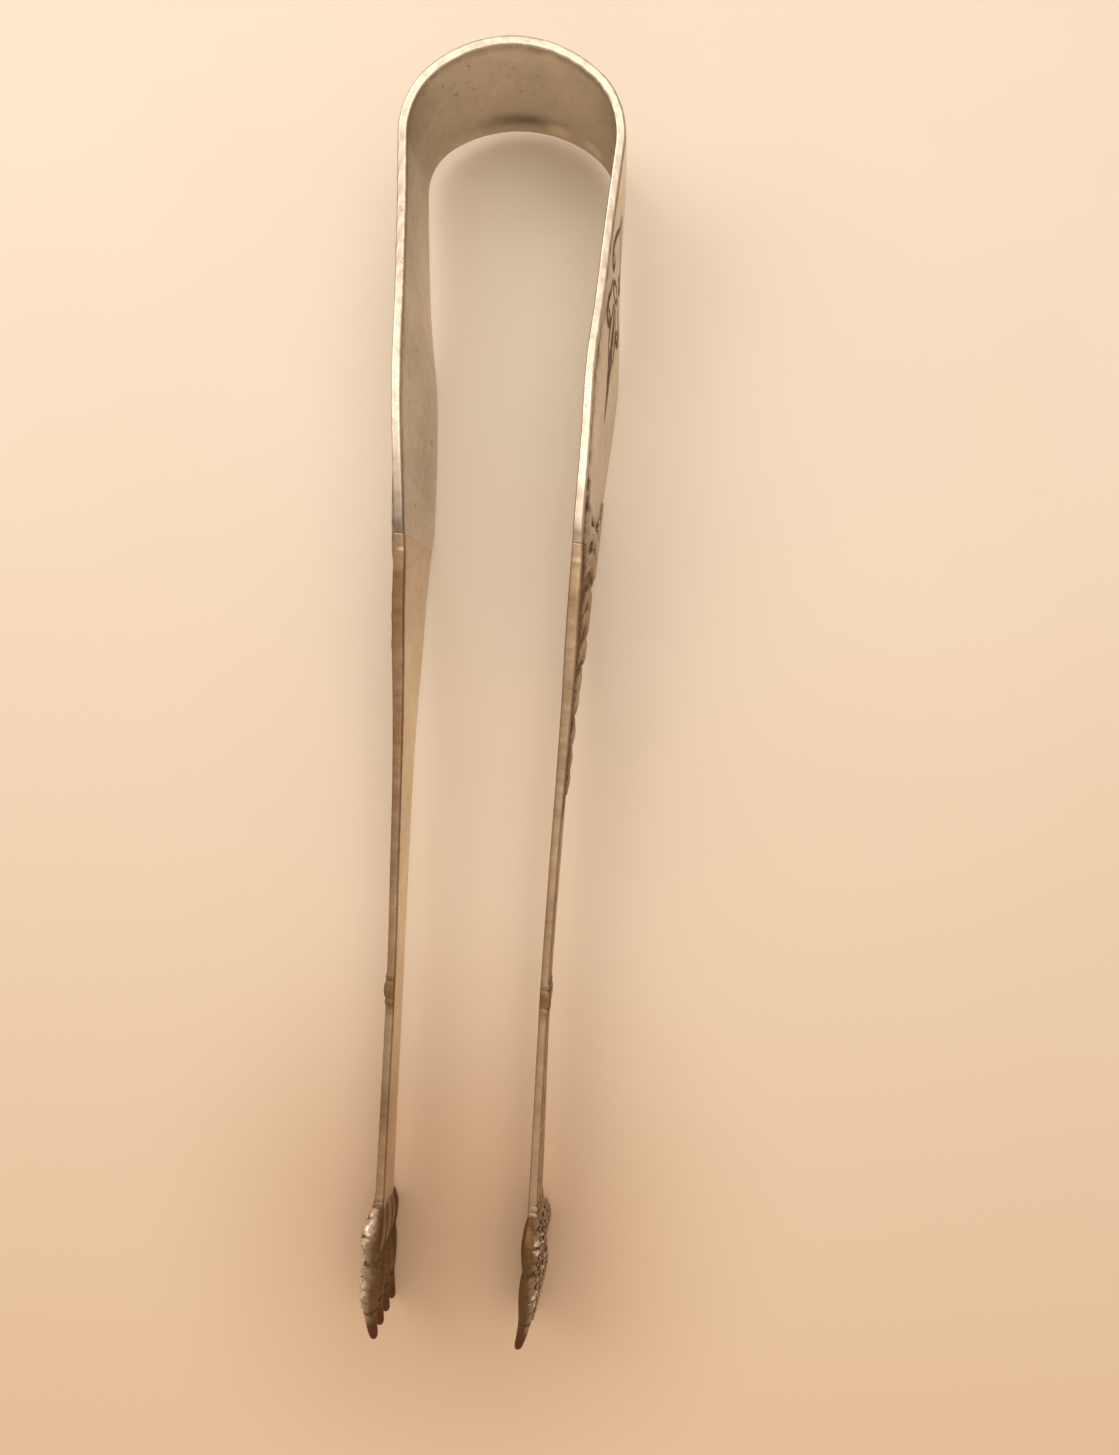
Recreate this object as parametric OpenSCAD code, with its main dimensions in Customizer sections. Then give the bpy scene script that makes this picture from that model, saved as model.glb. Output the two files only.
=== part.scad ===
// Claw-foot sugar tongs: a sprung bow of strip silver, two cast arms and two four-toed claw feet.
// Units are millimetres. The tongs lie on one edge, as they do on a table: +Y runs from the claws to
// the crown of the bow, X runs across the two arms, and +Z is up. The origin is at the middle of the
// bounding box, on the table. The tongs are drawn square to their own middle plane and then laid down
// by lie_angle, so that the two shoulders and the two lowest toes touch the table together.

/* [Overall] */
// Length over all, from the crown of the bow to the claw tips
overall_length = 120; // [110:1:140]

/* [Bow] */
// Thickness of the sprung strip
band_t = 0.9; // [0.6:0.05:1.4]
// Radius of the crown, to the middle of the strip
crown_r = 12; // [10:0.5:14]
// Radius of the two rounded corners beside the crown
corner_r = 6.25; // [5:0.25:8]
// How far each side of the bow leans inwards
side_lean = 2.45; // [1:0.05:4]
// Half width of the strip at its narrowest, half way down the bow
waist_hw = 5.1; // [4:0.1:6]
// Radius of the long curve that narrows the strip
waist_r = 61; // [45:1:90]
// Half width of the strip at the end of the shoulder
shoulder_hw = 6.1; // [5:0.1:7]
// Distance from the crown to the end of the shoulder
shoulder_from_crown = 43; // [38:1:50]
// Height of the raised ornament panel on each side of the bow
bow_panel_h = 0.3; // [0.1:0.05:0.6]

/* [Arms] */
// Thickness of a cast arm
arm_t = 1.15; // [0.8:0.05:1.6]
// Half width of the stem above the foot
stem_hw = 1.95; // [1.5:0.05:2.6]
// Radius of the long curve that narrows the arm to the stem
taper_r = 268; // [200:2:340]
// Distance from the crown to the knop on the stem
knop_from_crown = 86; // [80:0.5:95]
// Height of the raised foliage panel on the arm
arm_panel_h = 0.4; // [0.1:0.05:0.7]

/* [Claws] */
// Distance from the crown to the neck where the claw is soldered on
neck_from_crown = 108; // [100:1:115]
// Half width over the four knuckles
claw_hw = 3.9; // [3.2:0.1:5]
// Radius of a knuckle
knuckle_r = 0.92; // [0.7:0.02:1.1]
// Radius of a talon at its point
talon_r = 0.3; // [0.15:0.01:0.4]

/* [Spring] */
// Clearance between the crown and each side of the bow, where the strip's bending is gathered in one hinge
flex_gap = 0.06; // [0.04:0.01:0.1]
// Distance from the crown to that hinge
hinge_from_crown = 14; // [10:0.5:20]

/* [Hidden] */
$fn = 96;
silver = "#c9c2b4";
eps = 0.01;

// Stations along Y.
crown_y = overall_length / 2;
hinge_y = crown_y - hinge_from_crown;
shoulder_y = crown_y - shoulder_from_crown;
knop_y = crown_y - knop_from_crown;
neck_y = crown_y - neck_from_crown;
tip_y = -overall_length / 2;

// The crown arc meets each corner arc on a 3-4-5 line, which keeps the two tangent.
crown_cy = crown_y - band_t / 2 - crown_r;
corner_c = [(crown_r - corner_r) * 0.6, crown_cy + (crown_r - corner_r) * 0.8];
crown_span = atan2(0.6, 0.8);
side_top = corner_c + corner_r * [cos(side_lean), -sin(side_lean)];
function side_x(y) = side_top[0] - (side_top[1] - y) * tan(side_lean);

// Middle of the arm: a straight upper length from the shoulder to the knop, then an upright stem.
arm_top_x = side_x(shoulder_y);
stem_x = arm_top_x - 0.66;
arm_hw_top = shoulder_hw - 0.9;

// Toes: each runs from the neck over two knuckles to a talon that hooks inwards.
toe_z = [for (i = [-1.5 : 1 : 1.5]) i * (claw_hw - knuckle_r) / 1.5];
knuckle_y = [neck_y - 1.9, neck_y - 6.6];
knuckle_x = [stem_x + 0.08, stem_x + 0.05];
talon_mid = [stem_x - 0.05, tip_y + 2.3];
talon_tip = [stem_x - 0.5, tip_y + talon_r];

// Lie of the tongs: the plane that touches the lower edge of both shoulders and the lowest knuckles.
lie_slope = (shoulder_hw - claw_hw) / (shoulder_y - knuckle_y[1]);
lie_angle = atan(lie_slope);
lift = (shoulder_hw - shoulder_y * lie_slope) * cos(lie_angle);

// Lays the tongs on the table.
module laid() {
    translate([0, 0, lift]) rotate([lie_angle, 0, 0]) children();
}

// Draws the right-hand piece, or its mirror image on the left.
module on_side(left) {
    mirror([left ? 1 : 0, 0, 0]) children();
}

// Extrudes an outline drawn in (Y, Z) across the whole width of the tongs.
module across() {
    rotate([90, 0, 90]) translate([0, 0, -20]) linear_extrude(40) children();
}

// Extrudes an outline drawn in (X, Y) through the whole width of the strip.
module through(h = 16) {
    translate([0, 0, -h / 2]) linear_extrude(h) children();
}

// One length of curved strip about centre c, from angle a0 through sweep degrees.
module curved_strip(c, r, a0, sweep) {
    translate([c[0], c[1], 0]) rotate([0, 0, a0])
        rotate_extrude(angle = sweep) translate([r - band_t / 2, -8]) square([band_t, 16]);
}

// Straight bar between two points of the plan, with its thickness measured square to the bar.
module bar(a, b, t) {
    n = [b[1] - a[1], a[0] - b[0]] / norm(b - a) * t / 2;
    polygon([a + n, b + n, b - n, a - n]);
}

// Width of the strip: a long waist between the crown and the shoulders, whose edges rest on the table.
module band_outline() {
    edge_top = shoulder_hw + (crown_y - shoulder_y) * lie_slope;
    difference() {
        polygon([[shoulder_y, -shoulder_hw], [crown_y + 1, -edge_top - lie_slope],
                 [crown_y + 1, edge_top + lie_slope], [shoulder_y, shoulder_hw]]);
        for (s = [-1, 1]) translate([hinge_y, s * (waist_hw + waist_r)]) circle(waist_r, $fn = 360);
    }
}

// Straight side of the bow between two stations.
module side_bar(y0, y1, t = band_t, out = 0) {
    bar([side_x(y0) + out, y0], [side_x(y1) + out, y1], t);
}

// Crown of the bow: the middle length of the sprung strip. Each straight end is let a little way into the
// corner arc, eps thinner on each face, so that the two join cleanly.
module bow() {
    let_in = 0.3;
    color(silver) laid() intersection() {
        union() {
            curved_strip([0, crown_cy], crown_r, 90 - crown_span, 2 * crown_span);
            for (m = [0, 1]) mirror([m, 0, 0]) {
                curved_strip(corner_c, corner_r, 90 - crown_span, crown_span - 90 - side_lean);
                through() side_bar(side_top[1] + let_in, hinge_y + flex_gap / 2, band_t - 2 * eps);
            }
        }
        across() band_outline();
    }
}

// Lower length of the sprung strip, with its raised scroll panel on the outer face.
module bow_side(left) {
    panel = [shoulder_y + 15.5, shoulder_y + 26];
    panel_hw = waist_hw - 1;
    color(silver) laid() on_side(left) union() {
        intersection() {
            through() side_bar(hinge_y - flex_gap / 2, shoulder_y);
            across() band_outline();
        }
        // Raised panel with rounded ends and a low boss at the eye of each scroll.
        intersection() {
            through()
                side_bar(panel[1] + 3, panel[0] - 3, bow_panel_h + band_t / 2, (band_t / 2 + bow_panel_h) / 2);
            across() union() {
                translate([panel[0], -panel_hw]) square([panel[1] - panel[0], 2 * panel_hw]);
                for (y = panel) translate([y, 0]) scale([0.6, 1]) circle(panel_hw);
            }
        }
        for (y = panel) scroll_boss([side_x(y) + band_t / 2, y, 0], 1.5, bow_panel_h);
    }
}

// Low round boss at the eye of a scroll, standing on the outer face.
module scroll_boss(p, r, h) {
    translate([p[0] - eps, p[1], p[2]]) rotate([0, 90, 0]) cylinder(h + 0.25, r, r * 0.55);
}

// Width of the arm: it narrows in one long curve to the stem.
module arm_outline() {
    difference() {
        translate([neck_y, -arm_hw_top]) square([shoulder_y - neck_y, 2 * arm_hw_top]);
        for (s = [-1, 1]) {
            translate([knop_y, s * (stem_hw + taper_r)]) circle(taper_r, $fn = 720);
            translate([neck_y - 1, s > 0 ? stem_hw : -stem_hw - 9]) square([knop_y - neck_y + 1, 9]);
        }
    }
}

// Cast arm: flat inner face, a raised foliage panel below the shoulder, a knop and a ridged stem.
module arm(left) {
    top = [arm_top_x, shoulder_y];
    knop = [stem_x, knop_y];
    neck = [stem_x, neck_y];
    grow = arm_t / 2;
    color(silver) laid() on_side(left) union() {
        intersection() {
            through() union() {
                bar(top, knop, arm_t);
                bar(knop, neck, arm_t);
            }
            across() arm_outline();
        }
        // Foliage panel on the outer face, kept inside the edges of the arm.
        intersection() {
            through() bar(top + [grow, -3], top * 0.38 + knop * 0.62 + [grow, 0], 2 * arm_panel_h);
            across() difference() {
                translate([knop_y + 15, -arm_hw_top + 0.5]) square([27, 2 * arm_hw_top - 1]);
                for (s = [-1, 1])
                    translate([knop_y, s * (stem_hw - 0.5 + taper_r)]) circle(taper_r, $fn = 720);
            }
        }
        for (f = [0.1, 0.3, 0.5])
            scroll_boss([top[0] * (1 - f) + knop[0] * f + grow, top[1] * (1 - f) + knop[1] * f, 0],
                        1.7 - 1.4 * f, arm_panel_h);
        // Knop: a band round the stem between two finer beads.
        for (d = [[0, 0.55, 0.5], [-1.15, 0.3, 0.28], [1.15, 0.3, 0.28]])
            translate([stem_x, knop_y + d[0], 0]) collar(d[1], d[2]);
        // Ridge down the outer face of the stem, and the ring at the neck.
        translate([stem_x + grow, neck_y + 1.6, 0])
            rotate([-90, 0, 0]) cylinder(knop_y - neck_y - 3.4, 0.42, 0.42);
        translate([stem_x, neck_y + 0.6, 0]) collar(0.6, 0.45);
    }
}

// Rounded band round the stem: half its width along Y, and how far it stands proud.
module collar(half, proud) {
    w = 2 * (stem_hw + proud);
    t = arm_t + 2 * proud;
    translate([-t / 2, -half, -w / 2]) cube([t, 2 * half, w]);
}

// Round bar between two points, tapering from radius ra to rb.
module rod(a, b, ra, rb) {
    d = b - a;
    translate(a) rotate([0, acos(d[2] / norm(d)), atan2(d[1], d[0])]) cylinder(norm(d), ra, rb, $fn = 24);
}

// One toe: two knuckles, then a talon that tapers and hooks inwards.
module toe(z) {
    root = [stem_x, neck_y - 0.8, z * 0.5];
    k1 = [knuckle_x[0], knuckle_y[0], z];
    k2 = [knuckle_x[1], knuckle_y[1], z];
    mid = [talon_mid[0], talon_mid[1], z * 1.02];
    tip = [talon_tip[0], talon_tip[1], z * 1.03];
    rod(root, k1, 0.62, 0.74);
    translate(k1) sphere(knuckle_r, $fn = 24);
    rod(k1, k2, 0.74, 0.7);
    translate(k2) sphere(knuckle_r, $fn = 24);
    rod(k2, mid, 0.68, 0.5);
    translate(mid) sphere(0.56, $fn = 24);
    rod(mid, tip, 0.48, talon_r);
    translate(tip) sphere(talon_r + 0.03, $fn = 24);
}

// Claw foot: a short palm under the neck and four toes side by side.
module claw(left) {
    color(silver) laid() on_side(left) union() {
        translate([stem_x - arm_t / 2, neck_y - 2.6, -stem_hw]) cube([arm_t, 2.6, 2 * stem_hw]);
        translate([stem_x - 0.45, neck_y - 3.6, -claw_hw + knuckle_r])
            cube([0.9, 2.6, 2 * (claw_hw - knuckle_r)]);
        for (z = toe_z) toe(z);
    }
}

module bow_side_left() { bow_side(true); }
module bow_side_right() { bow_side(false); }
module arm_left() { arm(true); }
module arm_right() { arm(false); }
module claw_left() { claw(true); }
module claw_right() { claw(false); }

bow();
bow_side_left();
bow_side_right();
arm_left();
arm_right();
claw_left();
claw_right();
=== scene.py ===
"""Claw-foot sugar tongs in aged silver: a sprung bow, two cast arms and two four-toed claw feet.

Sizes are millimetres in the tongs' own frame, where the middle plane of the strip is z = 0 and +Y runs
from the claws to the crown of the bow. Lie.place lays them on the table and turns them to metres.
"""

from __future__ import annotations

import logging
import math
from dataclasses import dataclass, field
from enum import Enum
from typing import Sequence

import bpy
import numpy as np
from mathutils import Matrix, Vector

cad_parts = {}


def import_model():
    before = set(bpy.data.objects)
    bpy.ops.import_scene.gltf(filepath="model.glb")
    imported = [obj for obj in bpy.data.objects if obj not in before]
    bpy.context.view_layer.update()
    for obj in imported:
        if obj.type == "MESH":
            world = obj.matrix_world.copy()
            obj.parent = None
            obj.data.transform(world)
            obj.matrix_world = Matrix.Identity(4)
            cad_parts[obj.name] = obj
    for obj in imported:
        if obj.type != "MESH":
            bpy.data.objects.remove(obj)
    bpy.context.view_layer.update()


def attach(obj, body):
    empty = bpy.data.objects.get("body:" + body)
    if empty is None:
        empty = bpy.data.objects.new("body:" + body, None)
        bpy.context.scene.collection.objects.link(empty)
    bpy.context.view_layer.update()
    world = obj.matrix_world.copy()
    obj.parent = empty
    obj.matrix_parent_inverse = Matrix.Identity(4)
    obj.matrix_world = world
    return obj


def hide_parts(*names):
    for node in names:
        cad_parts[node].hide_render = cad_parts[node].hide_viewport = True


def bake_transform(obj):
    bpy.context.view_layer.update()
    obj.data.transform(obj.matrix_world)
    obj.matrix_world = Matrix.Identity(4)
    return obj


LOG = logging.getLogger("tongs")
Socket = bpy.types.NodeSocket
Operand = Socket | float
MM = 0.001
MARKS = ("recess", "polish", "tone", "talon")


# ---------------------------------------------------------------------------------------------------
# Numbers and curves
# ---------------------------------------------------------------------------------------------------
class Side(Enum):
    """The two halves of the tongs, with the sign of their X."""

    LEFT = -1
    RIGHT = 1

    @property
    def tag(self) -> str:
        """Word used in piece and node names."""
        return self.name.lower()

    @property
    def body(self) -> str:
        """Moving body that this half belongs to."""
        return f"{self.tag}_half"


@dataclass(frozen=True)
class Profile:
    """A size that varies smoothly along Y, given at a few stations in rising order."""

    stations: tuple[float, ...]
    values: tuple[float, ...]

    def __call__(self, y: np.ndarray) -> np.ndarray:
        """Monotone cubic through the stations.

        Args:
            y: positions in mm.

        Returns:
            The size at each position, held level beyond the two ends.
        """
        s, v = np.array(self.stations), np.array(self.values)
        step, slope = np.diff(s), np.diff(v) / np.diff(s)
        product, total = slope[:-1] * slope[1:], slope[:-1] + slope[1:]
        inner = np.where(product > 0, 2 * product / np.where(total == 0, 1, total), 0)
        tangent = np.concatenate([[slope[0]], inner, [slope[-1]]])
        y = np.clip(y, s[0], s[-1])
        i = np.clip(np.searchsorted(s, y) - 1, 0, len(s) - 2)
        t = (y - s[i]) / step[i]
        return (v[i] * (1 + 2 * t) * (1 - t) ** 2 + v[i + 1] * t * t * (3 - 2 * t)
                + step[i] * (tangent[i] * t * (1 - t) ** 2 - tangent[i + 1] * t * t * (1 - t)))


def smoothstep(low: float, high: float, x: np.ndarray) -> np.ndarray:
    """0 below low, 1 above high, and a smooth rise between them.

    Args:
        low: start of the rise.
        high: end of the rise.
        x: positions.

    Returns:
        The blend at each position.
    """
    t = np.clip((x - low) / (high - low), 0, 1)
    return t * t * (3 - 2 * t)


def spline(points: Sequence[Sequence[float]], count: int) -> np.ndarray:
    """Catmull-Rom curve through points.

    Args:
        points: the points it passes through, in any number of dimensions.
        count: how many samples to return.

    Returns:
        Samples evenly spaced in the curve's parameter.
    """
    p = np.array(points, dtype=float)
    p = np.vstack([2 * p[0] - p[1], p, 2 * p[-1] - p[-2]])
    t = np.linspace(0, len(p) - 3 - 1e-9, count)
    i = t.astype(int)
    u = (t - i)[:, None]
    a, b, c, d = p[i], p[i + 1], p[i + 2], p[i + 3]
    square, cube = 2 * a - 5 * b + 4 * c - d, 3 * b - a - 3 * c + d
    return 0.5 * (2 * b + (c - a) * u + square * u ** 2 + cube * u ** 3)


def wobble(x: np.ndarray, size: float, seed: int) -> np.ndarray:
    """Smooth one-dimensional unevenness between about -1 and 1.

    Args:
        x: positions in mm.
        size: rough length of one bump in mm.
        seed: picks the pattern.

    Returns:
        The unevenness at each position.
    """
    rng = np.random.default_rng(seed)
    total = np.zeros_like(x, dtype=float)
    for octave in range(2):
        wave = size / (1.9 ** octave)
        total += np.sin(2 * math.pi * x / wave + rng.uniform(0, 6.28)) * rng.uniform(0.5, 1) / (1.7 ** octave)
    return total / 1.8


@dataclass(frozen=True)
class Lie:
    """How the tongs lie on one edge: the shoulders and the two lowest toes touch the table together."""

    shoulder_hw: float = 6.1
    shoulder_y: float = 17.0
    claw_hw: float = 3.9
    knuckle_y: float = -54.6

    @property
    def slope(self) -> float:
        """Rise of the middle plane towards the crown."""
        return (self.shoulder_hw - self.claw_hw) / (self.shoulder_y - self.knuckle_y)

    @property
    def lift(self) -> float:
        """Height of the frame's origin above the table."""
        return (self.shoulder_hw - self.shoulder_y * self.slope) * math.cos(math.atan(self.slope))

    @property
    def matrix(self) -> Matrix:
        """Transform from the tongs' own frame to the row frame, both in metres."""
        return Matrix.Translation((0, 0, self.lift * MM)) @ Matrix.Rotation(math.atan(self.slope), 4, "X")

    def place(self, points: np.ndarray) -> np.ndarray:
        """Lays points on the table.

        Args:
            points: n by 3, in mm, in the tongs' own frame.

        Returns:
            The points in metres in the row frame.
        """
        m = np.array(self.matrix)
        return points * MM @ m[:3, :3].T + m[:3, 3]


LIE = Lie()


@dataclass(frozen=True)
class Plan:
    """Middle line of the strip seen from above: crown arc, corner arc, then the long side."""

    crown_y: float = 60.0
    half_t: float = 0.45
    crown_r: float = 12.0
    corner_r: float = 6.25
    side_lean: float = 2.45
    side: Profile = Profile((-60.0, -48.0, -27.5, -10.0, 5.0, 17.0, 30.0, 42.0, 51.88),
                            (7.54, 7.54, 7.55, 7.76, 8.0, 8.22, 8.76, 9.27, 9.694))
    crown_span: float = math.atan2(0.6, 0.8)

    def line(self) -> np.ndarray:
        """Dense points of the right-hand middle line.

        Returns:
            n by 2 points from the crown to below the neck.
        """
        span = self.crown_span
        crown_cy = self.crown_y - self.half_t - self.crown_r
        apart = self.crown_r - self.corner_r
        corner = np.array([0.0, crown_cy]) + apart * np.array([math.sin(span), math.cos(span)])
        a = np.linspace(0, span, 400)
        b = np.linspace(span, math.pi / 2 + math.radians(self.side_lean), 600)[1:]
        top = np.stack([np.sin(a) * self.crown_r, crown_cy + np.cos(a) * self.crown_r], 1)
        bend = np.stack([corner[0] + np.sin(b) * self.corner_r, corner[1] + np.cos(b) * self.corner_r], 1)
        y = np.linspace(bend[-1][1], -52, 3000)[1:]
        return np.vstack([top, bend, np.stack([self.side(y), y], 1)])

    def run(self) -> np.ndarray:
        """Distance of every point of the line from the crown."""
        return np.concatenate([[0], np.cumsum(np.linalg.norm(np.diff(self.line(), axis=0), axis=1))])

    def rows(self, s: np.ndarray) -> tuple[np.ndarray, np.ndarray]:
        """Points and outward normals at distances along the line.

        Args:
            s: distances from the crown in mm.

        Returns:
            n by 2 points and n by 2 unit normals.
        """
        p, run = self.line(), self.run()
        step = 0.15
        point, ahead, behind = (np.stack([np.interp(at, run, p[:, k]) for k in (0, 1)], 1)
                                for at in (s, s + step, np.maximum(s - step, 0)))
        t = ahead - behind
        t[s < step] = (1, 0)
        at_top = (s >= step) & (s < self.crown_r * self.crown_span)
        t[at_top] = np.stack([np.cos(s / self.crown_r), -np.sin(s / self.crown_r)], 1)[at_top]
        t /= np.linalg.norm(t, axis=1)[:, None]
        return point, np.stack([-t[:, 1], t[:, 0]], 1)

    def distance_to(self, y: float) -> float:
        """Distance along the line from the crown to the station y on the side."""
        return float(self.run()[np.argmax(self.line()[:, 1] < y)])


@dataclass(frozen=True)
class Bend:
    """Old bend of the arms: both lean the same way, so the bow shows one inner and one outer face."""

    left_deg: Profile = Profile((-60.0, -45.0, -10.0, 15.0, 28.0, 40.0, 57.0),
                                (5.0, 4.0, 2.5, 3.5, 6.0, 4.0, 0.0))
    right_deg: Profile = Profile((-60.0, -45.0, -25.0, -8.0, 12.0, 24.0, 34.0, 45.0, 57.0),
                                 (7.0, 6.0, 2.0, 2.0, 5.0, 8.0, 10.5, 6.0, 0.0))
    left_mm: Profile = Profile((-60.0, -20.0, 10.0, 20.0, 30.0, 42.0, 57.0),
                               (0.0, 0.0, 0.1, 0.4, 0.4, 0.1, 0.0))
    right_mm: Profile = Profile((-60.0, -45.0, -25.0, -12.0, 8.0, 28.0, 36.0, 46.0, 57.0),
                                (0.0, -0.1, -0.33, -0.3, 0.0, 0.33, 0.3, 0.02, 0.0))

    def apply(self, points: np.ndarray, side: Side) -> np.ndarray:
        """Leans points of one half.

        Args:
            points: n by 3, in mm in the tongs' own frame, already on their own side.
            side: which half.

        Returns:
            The leaned points.
        """
        lean, shift = (self.left_deg, self.left_mm) if side is Side.LEFT else (self.right_deg, self.right_mm)
        out = points.copy()
        out[:, 0] += shift(points[:, 1]) - np.tan(np.radians(lean(points[:, 1]))) * points[:, 2]
        return out


PLAN = Plan()
BEND = Bend()
HALF_WIDTH = Profile(
    (-49.0, -46.0, -28.0, -21.0, -15.0, -7.0, 0.0, 7.0, 12.6, 14.8, 16.5,
     18.5, 24.0, 31.0, 34.0, 38.0, 42.0, 46.0, 50.0, 53.0, 56.0, 60.5),
    (2.0, 1.98, 1.92, 2.05, 2.3, 2.62, 3.15, 4.2, 4.95, 5.25, 5.62,
     6.12, 6.31, 6.53, 6.28, 5.62, 5.23, 5.1, 5.23, 5.5, 5.92, 6.7))


# ---------------------------------------------------------------------------------------------------
# Ornament on the outer face
# ---------------------------------------------------------------------------------------------------
@dataclass(frozen=True)
class Stroke:
    """One line of ornament, a scroll, a stem or a leaf, drawn in (y, z) on the outer face."""

    points: tuple[tuple[float, float], ...]
    width: tuple[float, float, float]
    height: float
    vein: bool = False
    broad: float = 1.0  # how much wider the line is across the strip than along it
    samples: int = 56

    def add_to(self, y: np.ndarray, z: np.ndarray, field_: np.ndarray) -> None:
        """Raises the stroke out of a height field in place.

        Args:
            y: n positions along the arm.
            z: n positions across it.
            field_: n heights, raised where the stroke stands higher.
        """
        line = spline(self.points, self.samples) * np.array([self.broad, 1.0])
        y = y * self.broad
        t = np.linspace(0, 1, self.samples)
        w = np.interp(t, (0, 0.5, 1), self.width)
        reach = max(self.width) + 0.05
        near = ((y > line[:, 0].min() - reach) & (y < line[:, 0].max() + reach)
                & (z > line[:, 1].min() - reach) & (z < line[:, 1].max() + reach))
        if not near.any():
            return
        d = np.hypot(y[near, None] - line[None, :, 0], z[near, None] - line[None, :, 1])
        rel = d / w[None, :]
        best = rel.argmin(axis=1)
        r = rel[np.arange(len(best)), best]
        h = self.height * np.sqrt(np.clip(1 - r * r, 0, 1)) * np.interp(w[best], (0.05, 0.3), (0.55, 1))
        if self.vein:
            dist = d[np.arange(len(best)), best]
            h = h * (1 - 0.45 * np.exp(-(dist / 0.09) ** 2))
        field_[near] = np.maximum(field_[near], h)


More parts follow.
